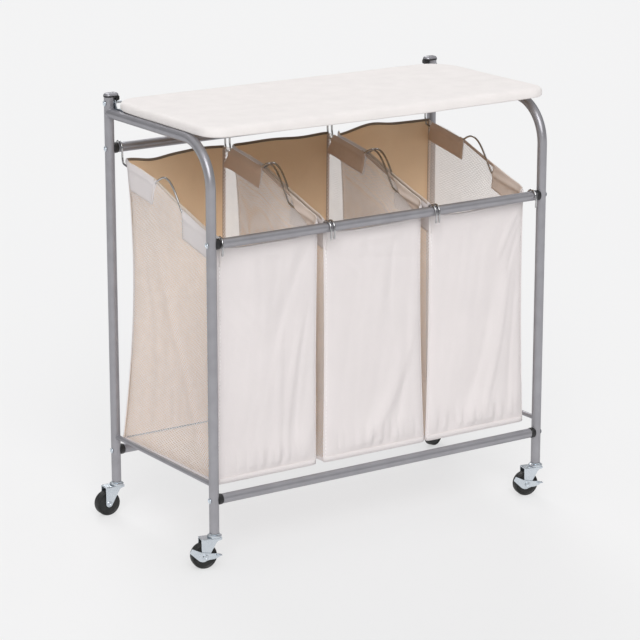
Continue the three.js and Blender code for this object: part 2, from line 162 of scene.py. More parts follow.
class Shader:
    """A Principled material, with short calls for the nodes that feed it."""

    def __init__(self, name, **sockets):
        self.material = bpy.data.materials.new(name)
        self.material.use_nodes = True
        self.nodes = self.material.node_tree.nodes
        self.links = self.material.node_tree.links
        self.bsdf = self.nodes["Principled BSDF"]
        for socket, value in sockets.items():
            self.bsdf.inputs[socket.replace("_", " ")].default_value = value

    def node(self, kind, links=(), **settings):
        made = self.nodes.new(kind)
        for setting, value in settings.items():
            setattr(made, setting, value)
        for socket, value in dict(links).items():
            if isinstance(value, bpy.types.NodeSocket):
                self.links.new(value, made.inputs[socket])
            else:
                made.inputs[socket].default_value = value
        return made

    def place(self):
        return self.node("ShaderNodeTexCoord").outputs["Object"]

    def stretched(self, scale):
        return self.node("ShaderNodeMapping", {"Vector": self.place(), "Scale": scale}).outputs[0]

    def noise(self, scale, detail=2.0, vector=None):
        links = {"Vector": vector or self.place(), "Scale": scale, "Detail": detail}
        return self.node("ShaderNodeTexNoise", links).outputs["Fac"]

    def math(self, operation, a, b=0.0):
        return self.node("ShaderNodeMath", {0: a, 1: b}, operation=operation).outputs[0]

    def ramp(self, value, stops):
        made = self.node("ShaderNodeValToRGB", {"Fac": value})
        set_stops(made.color_ramp, stops)
        return made.outputs["Color"]

    def between(self, value, low, high):
        links = {"Value": value, "To Min": low, "To Max": high}
        return self.node("ShaderNodeMapRange", links).outputs["Result"]

    def feed(self, socket, value):
        self.links.new(value, self.bsdf.inputs[socket])

    def bump(self, height, distance, strength=1.0):
        links = {"Height": height, "Distance": distance, "Strength": strength}
        self.feed("Normal", self.node("ShaderNodeBump", links).outputs["Normal"])

    def mottle(self, value, low, high, ends=(0.3, 0.7)):
        """A base colour that wanders between two tones."""
        self.feed("Base Color", self.ramp(value, list(zip(ends, (low, high)))))

    def polish(self, scale, low, high):
        """A roughness that wanders between two values."""
        self.feed("Roughness", self.between(self.noise(scale), low, high))


def set_stops(ramp, stops):
    for i, (position, colour) in enumerate(stops):
        stop = ramp.elements[i] if i < 2 else ramp.elements.new(position)
        stop.position = position
        stop.color = (*colour, 1)


def shade(colour, factor):
    return tuple(channel * factor for channel in colour)


def weave(shader, across, along, pitch):
    """Height of a plain weave whose threads run along two of the object's axes."""
    axes = shader.node("ShaderNodeSeparateXYZ", {"Vector": shader.place()}).outputs
    turns = 2 * math.pi / pitch
    warp = shader.math("SINE", shader.math("MULTIPLY", axes[across], turns))
    weft = shader.math("SINE", shader.math("MULTIPLY", axes[along], turns))
    return shader.math("MULTIPLY", warp, weft)


def painted_metal():
    shader = Shader("satin_paint", Metallic=0.55, IOR=1.5, Specular_Tint=(0.7, 0.7, 0.72, 1))
    tint = (0.345, 0.34, 0.362)
    shader.mottle(shader.noise(35), shade(tint, 0.94), shade(tint, 1.05))
    shader.polish(120, 0.28, 0.38)
    shader.bump(shader.noise(900), 0.00006, 0.5)
    return shader.material


def bright_zinc():
    shader = Shader("bright_zinc", Metallic=1.0)
    shader.mottle(shader.noise(60, 3), (0.62, 0.67, 0.72), (0.68, 0.73, 0.78))
    shader.polish(90, 0.24, 0.3)
    shader.bump(shader.noise(120), 0.00002, 0.2)
    return shader.material


def polished_wire():
    shader = Shader("polished_wire", Metallic=1.0)
    shader.mottle(shader.noise(90), (0.44, 0.44, 0.445), (0.53, 0.53, 0.535), (0.35, 0.65))
    shader.polish(300, 0.12, 0.24)
    return shader.material


def black_plastic():
    shader = Shader("black_plastic", IOR=1.46)
    shader.mottle(shader.noise(60), (0.012, 0.012, 0.013), (0.022, 0.021, 0.022))
    shader.polish(200, 0.36, 0.5)
    shader.bump(shader.noise(1500), 0.00005, 0.6)
    return shader.material


def wheel_tread():
    shader = Shader("wheel_tread", IOR=1.5)
    shader.mottle(shader.noise(80, 4), (0.008, 0.0085, 0.0085), (0.018, 0.018, 0.0175), (0.35, 0.68))
    shader.polish(160, 0.45, 0.7)
    shader.bump(shader.noise(800), 0.0001, 0.6)
    return shader.material


def canvas(name, tint, contrast=0.03):
    shader = Shader(name, Roughness=0.92, Sheen_Weight=0.12, Sheen_Roughness=0.5)
    slubs = shader.math("ADD", shader.noise(9, 3), shader.math("MULTIPLY", shader.noise(420, 2), 0.35))
    shader.mottle(slubs, shade(tint, 1 - contrast), shade(tint, 1 + contrast / 2), (0.45, 0.9))
    shader.bump(weave(shader, 0, 2, 0.0011), 0.00018, 0.5)
    return shader.material


def netting():
    """Open net: two slanting sets of yarns, with clear holes between them."""
    shader = Shader("netting", Roughness=0.8, Sheen_Weight=0.1)
    tint = (0.98, 0.95, 0.945)
    shader.mottle(shader.noise(50, 3), shade(tint, 0.95), shade(tint, 1.03))
    axes = shader.node("ShaderNodeSeparateXYZ", {"Vector": shader.place()}).outputs
    across = shader.math("MULTIPLY", axes[1], 1 / NET_PITCH)
    up = shader.math("MULTIPLY", axes[2], 0.62 / NET_PITCH)
    yarns = []
    for slope in ("ADD", "SUBTRACT"):
        place = shader.math("FRACT", shader.math(slope, across, up))
        middle = shader.math("ABSOLUTE", shader.math("SUBTRACT", place, 0.5))
        yarns.append(shader.math("LESS_THAN", middle, NET_YARN / 2))
    shader.feed("Alpha", shader.math("MAXIMUM", yarns[0], yarns[1]))
    return shader.material


def board_cotton():
    shader = Shader("board_cotton", Roughness=0.88, Sheen_Weight=0.2, Sheen_Roughness=0.45)
    tint = (0.83, 0.79, 0.772)
    shader.mottle(shader.noise(25, 4), shade(tint, 0.965), shade(tint, 1.02))
    shader.bump(weave(shader, 0, 1, 0.0009), 0.0001, 0.4)
    return shader.material


def board_core():
    shader = Shader("board_core", Roughness=0.75)
    grain = shader.noise(40, 5, shader.stretched((1, 8, 8)))
    shader.mottle(grain, (0.36, 0.24, 0.13), (0.50, 0.36, 0.22))
    shader.bump(shader.noise(300, 4), 0.0003, 0.5)
    return shader.material


MATERIALS = {
    "paint": painted_metal(), "zinc": bright_zinc(), "wire": polished_wire(), "black": black_plastic(),
    "tread": wheel_tread(), "net": netting(), "cotton": board_cotton(), "core": board_core(),
    "canvas": canvas("canvas_outside", (0.78, 0.73, 0.725)),
    # The canvas's inner face is tinted tan.
    "lining": canvas("canvas_inside", (0.95, 0.715, 0.485), 0.05),
    # A darker copy of the canvas's tan inner face: painted shade on the inner faces of the right sides' rear
    # pockets.
    "flap": canvas("flap_inside", (0.65, 0.49, 0.385), 0.06),
    "pale_flap": canvas("pale_flap_inside", (0.76, 0.66, 0.595), 0.05),
    # The inner face of the pale rim tape, darkened: painted shade along the rims and on the right sides' rear
    # seams.
    "rim_inside": canvas("rim_tape_inside", (0.56, 0.44, 0.37), 0.1),
    # A dark brown copy of the pale tape: painted shade along the rear tops and on the first bag's inner
    # bottom seam.
    "binding": canvas("binding_tape", (0.24, 0.19, 0.145), 0.12),
    "pale_binding": canvas("pale_binding_tape", (0.66, 0.56, 0.48)),
}


# ---- mesh helpers: all points in millimetres

class Shape:
    """Vertices and faces of one piece, built up from simple closed forms."""

    def __init__(self):
        self.points, self.faces = [], []

    def loft(self, rings, closed_rings=True, cap=True, loop=False):
        """Skin over rings of equal length. cap closes both ends; loop joins the last ring to the first."""
        base, width = len(self.points), len(rings[0])
        for ring in rings:
            self.points += [Vector(point) for point in ring]
        last = len(rings) if loop else len(rings) - 1
        steps = width if closed_rings else width - 1
        for i in range(last):
            here, there = base + i * width, base + ((i + 1) % len(rings)) * width
            for j in range(steps):
                k = (j + 1) % width
                self.faces.append((here + j, here + k, there + k, there + j))
        if cap and closed_rings and not loop:
            self.faces.append(tuple(reversed(range(base, base + width))))
            top = base + (len(rings) - 1) * width
            self.faces.append(tuple(range(top, top + width)))
        return self

    def moved(self, matrix):
        self.points = [matrix @ point for point in self.points]
        return self

    def flipped(self):
        self.faces = [tuple(reversed(face)) for face in self.faces]
        return self

    def add(self, part):
        base = len(self.points)
        self.points += part.points
        self.faces += [tuple(base + i for i in face) for face in part.faces]
        return self

    def piece(self, name, body, material, replaces=(), inside=None, inward=None, thickness=0,
              flat_below=None):
        """The object of this shape. inside is worn by faces that point inward and by a sheet's inner face."""
        mesh = bpy.data.meshes.new(name)
        mesh.from_pydata([point * MM for point in self.points], [], self.faces)
        mesh.validate()
        made = bpy.data.objects.new(name, mesh)
        bpy.context.scene.collection.objects.link(made)
        for wanted in filter(None, (material, inside)):
            mesh.materials.append(MATERIALS[wanted])
        if thickness:
            thicken(made, thickness)
        else:
            turn_outward(mesh)
        if inward:
            for face in mesh.polygons:
                face.material_index = 1 if face.normal.dot(Vector(inward)) > 0.25 else 0
        made.data.shade_smooth()
        if flat_below is not None:
            made.data.set_sharp_from_angle(angle=math.radians(flat_below))
        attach(made, body)
        if replaces:
            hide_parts(*replaces)
        return made

    def stand_for(self, node, body, material, flat_below=None):
        """A finer piece in place of the CAD node, named after it."""
        return self.piece(f"{node}_fine", body, material, [node], flat_below=flat_below)


def turn_outward(mesh):
    work = bmesh.new()
    work.from_mesh(mesh)
    bmesh.ops.recalc_face_normals(work, faces=work.faces)
    work.to_mesh(mesh)
    work.free()


def thicken(piece, thickness):
    """Gives an open sheet its thickness, with its second material on the inner face."""
    modifier = piece.modifiers.new("thickness", "SOLIDIFY")
    modifier.thickness = thickness * MM
    modifier.offset = 0
    modifier.use_even_offset = False
    modifier.material_offset = 1
    evaluated = piece.evaluated_get(bpy.context.evaluated_depsgraph_get())
    mesh = bpy.data.meshes.new_from_object(evaluated)
    piece.modifiers.clear()
    piece.data = mesh


def circle(radius, sides):
    return [(radius * math.cos(2 * math.pi * i / sides), radius * math.sin(2 * math.pi * i / sides))
            for i in range(sides)]


def frames_along(path):
    """A matrix at each point of the path: Z runs along the path, and X is carried on from the last one."""
    tangents = []
    for i in range(len(path)):
        before, after = path[max(i - 1, 0)], path[min(i + 1, len(path) - 1)]
        tangents.append((after - before).normalized())
    side = tangents[0].orthogonal().normalized()
    frames = []
    for point, tangent in zip(path, tangents):
        side = (side - tangent * side.dot(tangent)).normalized()
        frames.append(Matrix((side, tangent.cross(side), tangent)).transposed().to_4x4())
        frames[-1].translation = point
    return frames


def place_ring(at, radius, sides, along=0.0):
    return [at @ Vector((x, y, along)) for x, y in circle(radius, sides)]


def wire(path, radius, sides=12):
    """A round rod with domed ends."""
    frames = frames_along(path)
    dome = [(radius * math.cos(math.radians(angle)), radius * math.sin(math.radians(angle)))
            for angle in (80, 50, 20)]
    rings = [place_ring(frames[0], across, sides, -along) for across, along in dome]
    rings += [place_ring(at, radius, sides) for at in frames]
    rings += [place_ring(frames[-1], across, sides, along) for across, along in reversed(dome)]
    return Shape().loft(rings)


def tube(path):
    """A frame tube with an open bore and softened ends."""
    frames = frames_along(path)
    sides, soft, bore = 40, 0.35, TUBE_RADIUS - TUBE_WALL
    first, last = frames[0], frames[-1]
    rings = [place_ring(first, TUBE_RADIUS - soft, sides), place_ring(first, TUBE_RADIUS, sides, soft)]
    rings += [place_ring(at, TUBE_RADIUS, sides) for at in frames[1:-1]]
    rings += [place_ring(last, TUBE_RADIUS, sides, -soft), place_ring(last, TUBE_RADIUS - soft, sides)]
    rings += [place_ring(at, bore, sides) for at in reversed(frames)]
    return Shape().loft(rings, loop=True)


def lathe(profile, segments, matrix, ring=False):
    """Turns (radius, height) points round Z. ring joins the profile's last point to its first."""
    rings = [[(r * c, r * s, z) for c, s in circle(1, segments)] for r, z in profile]
    return Shape().loft(rings, loop=ring).moved(matrix)


def inset_outline(points, distance):
    """Moves a 2-D outline inwards along its corners' bisectors."""
    points = [Vector(point) for point in points]
    afters = points[1:] + points[:1]
    turn = 1 if sum(here.cross(after) for here, after in zip(points, afters)) > 0 else -1
    made = []
    for before, here, after in zip(points[-1:] + points[:-1], points, afters):
        normals = [edge.normalized().orthogonal() * turn for edge in (here - before, after - here)]
        bisector = (normals[0] + normals[1]).normalized()
        made.append(here + bisector * distance / max(bisector.dot(normals[0]), 0.5))
    return made


def plate(outline, thickness, soft, matrix=Matrix()):
    """A flat plate with softened edges: its outline in X-Y, its thickness from z = 0 up."""
    inner = inset_outline(outline, soft)
    levels = ((inner, 0), (outline, soft), (outline, thickness - soft), (inner, thickness))
    return Shape().loft([[(*point, z) for point in ring] for ring, z in levels]).moved(matrix)


def rounded_outline(left, right, front, rear, radii, steps=8):
    """A rectangle with round corners, from front right anticlockwise."""
    corners = ((right, front, -1, 1), (right, rear, -1, -1), (left, rear, 1, -1), (left, front, 1, 1))
    points = []
    for (x, y, inward_x, inward_y), radius, quarter in zip(corners, radii, (-1, 0, 1, 2)):
        for i in range(steps + 1):
            angle = (quarter + i / steps) * math.pi / 2
            points.append((x + inward_x * radius + radius * math.cos(angle),
                           y + inward_y * radius + radius * math.sin(angle)))
    return points


def facing(axis, place):
    """A matrix that turns +Z to the given axis and moves the origin to place."""
    turn = UP.rotation_difference(Vector(axis)).to_matrix().to_4x4()
    turn.translation = Vector(place)
    return turn


def arc(y, z, radius, start, end, steps, x=0.0):
    angles = [math.radians(start + (end - start) * i / steps) for i in range(steps + 1)]
    return [Vector((x, y + radius * math.cos(a), z + radius * math.sin(a))) for a in angles]


def smooth_curve(points, per_span):
    """A Catmull-Rom curve through the points."""
    ends = [points[0] * 2 - points[1], *points, points[-1] * 2 - points[-2]]
    made = []
    for a, b, c, d in zip(ends, ends[1:], ends[2:], ends[3:]):
        for i in range(per_span):
            t = i / per_span
            made.append(0.5 * (2 * b + (c - a) * t + (2 * a - 5 * b + 4 * c - d) * t * t
                               + (3 * b - a - 3 * c + d) * t ** 3))
    return made + [points[-1]]


def straight(start, end, count=2):
    return [Vector(start).lerp(Vector(end), i / (count - 1)) for i in range(count)]


def path_length(points):
    return sum((b - a).length for a, b in zip(points, points[1:]))


def walk(points, goals):
    """The places on a row of points at the given distances from its start, in rising order."""
    made, walked, i = [], 0.0, 0
    for goal in goals:
        while walked + (points[i + 1] - points[i]).length < goal:
            walked += (points[i + 1] - points[i]).length
            i += 1
        length = (points[i + 1] - points[i]).length
        made.append(points[i].lerp(points[i + 1], (goal - walked) / length if length else 0))
    return made


def ease(t):
    t = max(0.0, min(1.0, t))
    return t * t * (3 - 2 * t)


def bell(distance, width):
    return math.exp(-(distance / width) ** 2)


# ---- frame

def make_tubes():
    for side, sign in SIDES:
        x = sign * HALF_SPAN
        leg = straight((x, -HALF_DEPTH, LEG_FOOT), (x, -HALF_DEPTH, LEG_FOOT + 20))
        bend = arc(-HALF_DEPTH + BEND_RADIUS, ARM_HEIGHT - BEND_RADIUS, BEND_RADIUS, 180, 90, 28, x)
        arm = straight((x, 100, ARM_HEIGHT), (x, HALF_DEPTH - TUBE_RADIUS + 3, ARM_HEIGHT))
        tube(leg + bend + arm).stand_for(f"{side}_end_tube", "frame", "paint", 40)
        post = straight((x, HALF_DEPTH, LEG_FOOT), (x, HALF_DEPTH, POST_TOP))
        tube(post).stand_for(f"{side}_rear_post", "frame", "paint", 40)
        height = node_centre(f"{side}_lower_bar").z
        reach = HALF_DEPTH - TUBE_RADIUS + 1.5
        bar = straight((x, -reach, height), (x, reach, height), 3)
        wire(bar, END_BAR_RADIUS, 24).stand_for(f"{side}_lower_bar", "frame", "paint", 40)
        face = HALF_DEPTH - TUBE_RADIUS
        make_weld(f"{side}_arm_weld", Vector((x, face, ARM_HEIGHT)), TUBE_RADIUS, 1)
        make_weld(f"{side}_bar_rear_weld", Vector((x, face, height)), END_BAR_RADIUS, 1)
        make_weld(f"{side}_bar_front_weld", Vector((x, -face, height)), END_BAR_RADIUS, -1)


def make_weld(name, middle, radius, outward):
    """A small weld bead round a tube that ends on a leg. outward is the leg's way along Y."""
    steps = 48
    line = []
    for i in range(steps):
        angle = 2 * math.pi * i / steps
        across = radius * math.cos(angle)
        wrap = TUBE_RADIUS - math.sqrt(max(TUBE_RADIUS ** 2 - across ** 2, 0))
        line.append(middle + Vector((across, outward * (wrap * 0.9 - 0.5), radius * math.sin(angle))))
    rings = []
    for i, point in enumerate(line):
        along = (line[(i + 1) % steps] - line[i - 1]).normalized()
        away = (point - middle).normalized()
        lift = 0.9 + 0.25 * math.sin(i * 1.9)
        rings.append([point + away * lift * c + along.cross(away) * lift * s for c, s in circle(1, 8)])
    Shape().loft(rings, loop=True).piece(name, "frame", "paint")


def make_rails():
    for rail in RAILS:
        low, high = node_box(f"{rail}_rail")
        y, z = node_centre(f"{rail}_rail").y, RAIL_HEIGHT[rail]
        tube(straight((low.x, y, z), (high.x, y, z))).stand_for(f"{rail}_rail", "frame", "paint", 40)
        for side, sign in SIDES:
            leg = Vector((sign * HALF_SPAN, y, z))
            make_ferrule(f"{rail}_{side}_ferrule", facing((-sign, 0, 0), leg), HALF_SPAN - high.x - 0.3)
            make_bolt(f"{rail}_{side}_bolt", facing((sign, 0, 0), leg))


def make_ferrule(node, matrix, end):
    """A moulded collar from the leg to the rail's end, with a plug that goes inside the rail."""
    start, soft = 6.5, 0.8
    profile = [(3.2, start), (FERRULE_RADIUS - soft, start), (FERRULE_RADIUS, start + soft),
               (FERRULE_RADIUS, end - 2.2), (FERRULE_RADIUS - 0.3, end - 1.4), (FERRULE_RADIUS - 1.2, end),
               (7.9, end), (7.9, end + 13), (7, end + 14), (3.2, end + 14)]
    lathe(profile, 40, matrix, ring=True).stand_for(node, "frame", "black", 35)


def make_bolt(node, matrix):
    """A pan head with a round recess, over a thin washer. Z points out of the leg."""
    face = TUBE_RADIUS + 0.2
    head = [(0.01, face + 0.9), (1.3, face + 0.9), (1.7, face + 2.1), (2.8, face + 2.15), (3.9, face + 1.8),
            (4.6, face + 1.2), (4.8, face + 0.6), (4.8, face + 0.4), (5.6, face + 0.35), (5.6, face - 0.1),
            (2.5, face - 0.1), (2.5, -face - 18), (0.01, -face - 18)]
    lathe(head, 28, matrix).stand_for(node, "frame", "zinc", 35)


def make_post_tops():
    for side, sign in SIDES:
        low, high = node_box(f"{side}_post_cap")
        middle, half = (low + high) / 2, (high - low) / 2
        rings = []
        for degrees in (0, 12, 28, 45, 62, 78, 87):
            angle = math.radians(degrees)
            pull = (1 - math.cos(angle)) * 6.4
            outline = rounded_outline(-half.x + pull, half.x - pull, -half.y + pull, half.y - pull,
                                      [max(CAP_CORNER - pull, 1.2)] * 4)
            height = low.z + 2 * half.z * math.sin(angle)
            rings.append([(middle.x + x, middle.y + y, height) for x, y in outline])
        Shape().loft(rings).stand_for(f"{side}_post_cap", "frame", "paint", 60)
        make_hinge_stop(side, sign, middle)
        pivot = Vector((sign * HALF_SPAN, HALF_DEPTH, HINGE_HEIGHT))
        make_bolt(f"{side}_hinge_bolt", facing((sign, 0, 0), pivot))


def make_hinge_stop(side, sign, middle):
    """The black flange under the cap, with its lug down the inner side of the post."""
    flange = rounded_outline(-14.8, 14.8, -10.2, 10.2, [CAP_CORNER] * 4)
    shape = plate(flange, STOP_FLANGE, 0.5, Matrix.Translation((middle.x, middle.y, POST_TOP + 0.2)))
    near, far = 12.7, 21
    lug = rounded_outline(near, far, -6.5, 6.5, [1.5] * 4, 4)
    rings = []
    for share, below in ((0.15, 8.5), (0.6, 8.0), (1, 6.0), (1, -0.6)):
        rings.append([(sign * (HALF_SPAN - (near + (x - near) * share)), HALF_DEPTH + y, POST_TOP - below)
                      for x, y in lug])
    shape.add(Shape().loft(rings)).stand_for(f"{side}_hinge_stop", "frame", "black", 40)


# ---- ironing board

def board_outline(inset, steps):
    return rounded_outline(BOARD_LOW.x + inset, BOARD_HIGH.x - inset, BOARD_LOW.y + inset,
                           BOARD_HIGH.y - inset, [radius - inset for radius in BOARD_RADII], steps)


def board_ring(inset, step=14):
    """The board's outline as steps of about one length, finer in its corners."""
    points = [Vector(point) for point in board_outline(inset, 14)]
    ring = []
    for point, after in zip(points, points[1:] + points[:1]):
        count = max(1, round((after - point).length / step))
        ring += [point.lerp(after, k / count) for k in range(count)]
    return ring


def resample(ring, count):
    """The same closed outline as count points at even steps."""
    points = [*ring, ring[0]]
    total = path_length(points)
    return walk(points, [total * k / count for k in range(count)])


STEPS = len(board_ring(EDGE))
OUTLINES = {inset: resample(board_ring(inset), STEPS) for inset in (0, 2, 4, EDGE, 16, 24, HEM_INSET)}


def board_shift(x, y, top):
    """How far the cover stands off its plain shape: soft unevenness, and a front edge that droops."""
    wander = noise.noise(Vector((x * 0.011, y * 0.014, 3.1))) * 0.5
    wander += noise.noise(Vector((x * 0.03, y * 0.03, 7.7))) * 0.2
    across = max(0.0, 1 - ((x - 5) / 340) ** 2)
    droop = 2.6 * across * max(0.0, min(1.0, (-150 - y) / 42)) if not top else 0
    return wander - droop


def at_inset(i, inset):
    """The board's outline at its i-th step, inset from the edge; found between evenly stepped outlines."""
    near = max(k for k in OUTLINES if k <= inset)
    far = min(k for k in OUTLINES if k >= inset)
    share = (inset - near) / (far - near) if far > near else 0
    return OUTLINES[near][i].lerp(OUTLINES[far][i], share)


def cover_hem(bottom):
    """Rings of the cover's gathered hem under the board, from its inner edge outwards."""
    rings = []
    for inset, lift in ((HEM_INSET, 0.9), (24, 0.2), (16, 0.0)):
        ring = []
        for i in range(STEPS):
            x, y = at_inset(i, inset)
            gather = 0.5 * math.sin(i * 1.7) if inset > 16 else 0
            ring.append((x, y, bottom + 0.5 + lift + gather + board_shift(x, y, False) * 0.3))
        rings.append(ring)
    return rings


def cover_edge(bottom, top):
    """Rings round the cover's rounded edge, from its underside up to its top face."""
    rings = []
    for degrees in range(-90, 91, 10):
        angle = math.radians(degrees)
        ring = []
        for i, (_, y) in enumerate(OUTLINES[EDGE]):
            low = LOW_EDGE + (EDGE - LOW_EDGE) * ease((y - 90) / 60)
            radius = low if degrees < 0 else EDGE
            x, y = at_inset(i, radius * (1 - math.cos(angle)) + 0.2)
            z = bottom + low * (1 + math.sin(angle)) if degrees < 0 else top - EDGE * (1 - math.sin(angle))
            ring.append((x, y, z + board_shift(x, y, z > (bottom + top) / 2)))
        rings.append(ring)
    return rings


def make_board():
    bottom, top = BOARD_BOTTOM + 0.1, BOARD_HIGH.z - 0.4
    cover = Shape().loft(cover_hem(bottom) + cover_edge(bottom, top), cap=False)
    fill_top(cover, top)
    cover.piece("board_cover", "board", "cotton", ["board_pad"])
    make_panel(bottom)
    make_elastic(bottom)


def fill_top(shape, top):
    """Closes the cover inside its last ring with a fine, slightly crowned field."""
    base = len(shape.points) - STEPS
    outline = [point.xy for point in shape.points[base:]]
    field = [Vector((x, y)) for x in field_steps(BOARD_LOW.x, BOARD_HIGH.x)
             for y in field_steps(BOARD_LOW.y, BOARD_HIGH.y) if inside_by(x, y) > 20]
    edges = [(i, (i + 1) % STEPS) for i in range(STEPS)]
    points, _, faces, *_ = delaunay_2d_cdt(outline + field, edges, [], 1, 1e-5)
    for x, y in points[STEPS:]:
        crown = 0.7 * min(1.0, inside_by(x, y) / 90)
        shape.points.append(Vector((x, y, top + crown + board_shift(x, y, True))))
    shape.faces += [tuple(base + i for i in face) for face in faces]


def field_steps(low, high):
    """Even steps across the board's top, clear of its rounded edge."""
    return range(int(low) + 24, int(high) - 20, FIELD_STEP)


def inside_by(x, y, corner=48):
    """Distance inwards from the board's straight edges, less in its corners."""
    dx = min(x - BOARD_LOW.x, BOARD_HIGH.x - x)
    dy = min(y - BOARD_LOW.y, BOARD_HIGH.y - y)
    if dx < corner and dy < corner:
        return corner - math.hypot(corner - dx, corner - dy)
    return min(dx, dy)


def make_panel(bottom):
    place = Matrix.Translation((0, 0, bottom + 1.6))
    plate(board_outline(PANEL_INSET, 8), 6, 0.6, place).stand_for("board_panel", "board", "core", 40)


def make_elastic(bottom):
    """The cord that gathers the cover's hem under the board."""
    ring = resample(board_ring(HEM_INSET), 240)
    path = [Vector((x, y, bottom + 1.2 + 0.4 * math.sin(i * 1.7))) for i, (x, y) in enumerate(ring)]
    frames = frames_along(path + path[:1])[:-1]
    cord = Shape().loft([place_ring(at, 1.1, 8) for at in frames], loop=True)
    cord.piece("board_hem_cord", "board", "cotton")


def make_hinge_brackets():
    """Each is a lug with the hinge's eye, a flange under the board and two rivets."""
    for side, sign in SIDES:
        low, high = node_box(f"{side}_hinge_bracket")
        inner, outer = sorted((abs(low.x), abs(high.x)))
        top, front = BOARD_BOTTOM - 0.3, low.y
        eye = [point.yz for point in arc(HALF_DEPTH, HINGE_HEIGHT, 8, -75, 153, 19)]
        outline = [*eye, (HALF_DEPTH - 12, top - 0.2), (front + 3, top - 0.2), (front, top - 3),
                   (front, top - 8), (front + 4, top - 11), (HALF_DEPTH - 8, top - 11)]
        place = Matrix(((0, 0, 1, outer - 2.5), (1, 0, 0, 0), (0, 1, 0, 0), (0, 0, 0, 1)))
        lug = plate(outline, 2.5, 0.5, place)
        flange = rounded_outline(inner, outer - 1, front, HALF_DEPTH - 16, [3] * 4, 4)
        lug.add(plate(flange, 2.2, 0.5, Matrix.Translation((0, 0, top - 2.2))))
        rivet = [(0.01, -1.6), (2.2, -1.5), (3.4, -0.9), (3.6, 0.2), (0.01, 0.2)]
        for y in (front + 14, HALF_DEPTH - 32):
            lug.add(lathe(rivet, 20, Matrix.Translation((inner + 10, y, top - 2.2))))
        if sign < 0:
            lug.moved(Matrix.Diagonal((-1, 1, 1, 1)))
        lug.stand_for(f"{side}_hinge_bracket", "board", "zinc", 35)


# ---- bags

def hook_path(y, z, outward, drop, lean=0.0):
    """From the bag's side of a rail, over it and down to the hook's tip."""
    begin, end = (180, 0) if outward > 0 else (12, 180)
    path = arc(y, z, HOOK_RADIUS, begin, end, 14)
    tip = y + outward * HOOK_RADIUS
    steps = ((0.2, 0.9), (0.45, 1.0), (0.75, 0.5), (1.0, 0.0))
    path += [Vector((0, tip + outward * away, z - drop * down)) for down, away in steps]
    for i, point in enumerate(path):
        point.x += lean * ease(i / len(path))
    return path


def rod_path(x, lean):
    rear = hook_path(HALF_DEPTH, RAIL_HEIGHT["rear_upper"], 1, HOOK_TIP_DROP["rear"])[::-1]
    front = hook_path(-HALF_DEPTH, RAIL_HEIGHT["front_upper"], -1, HOOK_TIP_DROP["front"], lean)
    run = [Vector((0, y, z)) for y, z in (*ROD_REAR, *HANDLE_ARC, *ROD_FRONT)]
    middle = smooth_curve([rear[-1], *run, front[0]], 7)[1:-1]
    return [point + Vector((x, 0, 0)) for point in (*rear, *middle, *front)]


def make_rods():
    for bag in BAGS:
        for side, _ in SIDES:
            node = f"{bag}_{side}_rod"
            path = rod_path(node_centre(node).x, HOOK_LEANS[f"{bag}_{side}"])
            wire(path, ROD_RADIUS).stand_for(node, bag, "wire")


def between_points(points, y):
    """Height at y of a line through (y, z) points that are given from rear to front."""
    for (y1, z1), (y0, z0) in zip(points, points[1:]):
        if y >= y0:
            return z0 + (z1 - z0) * (y - y0) / (y1 - y0)
    return points[-1][1]


def rim_height(y):
    return between_points(RIM, y)


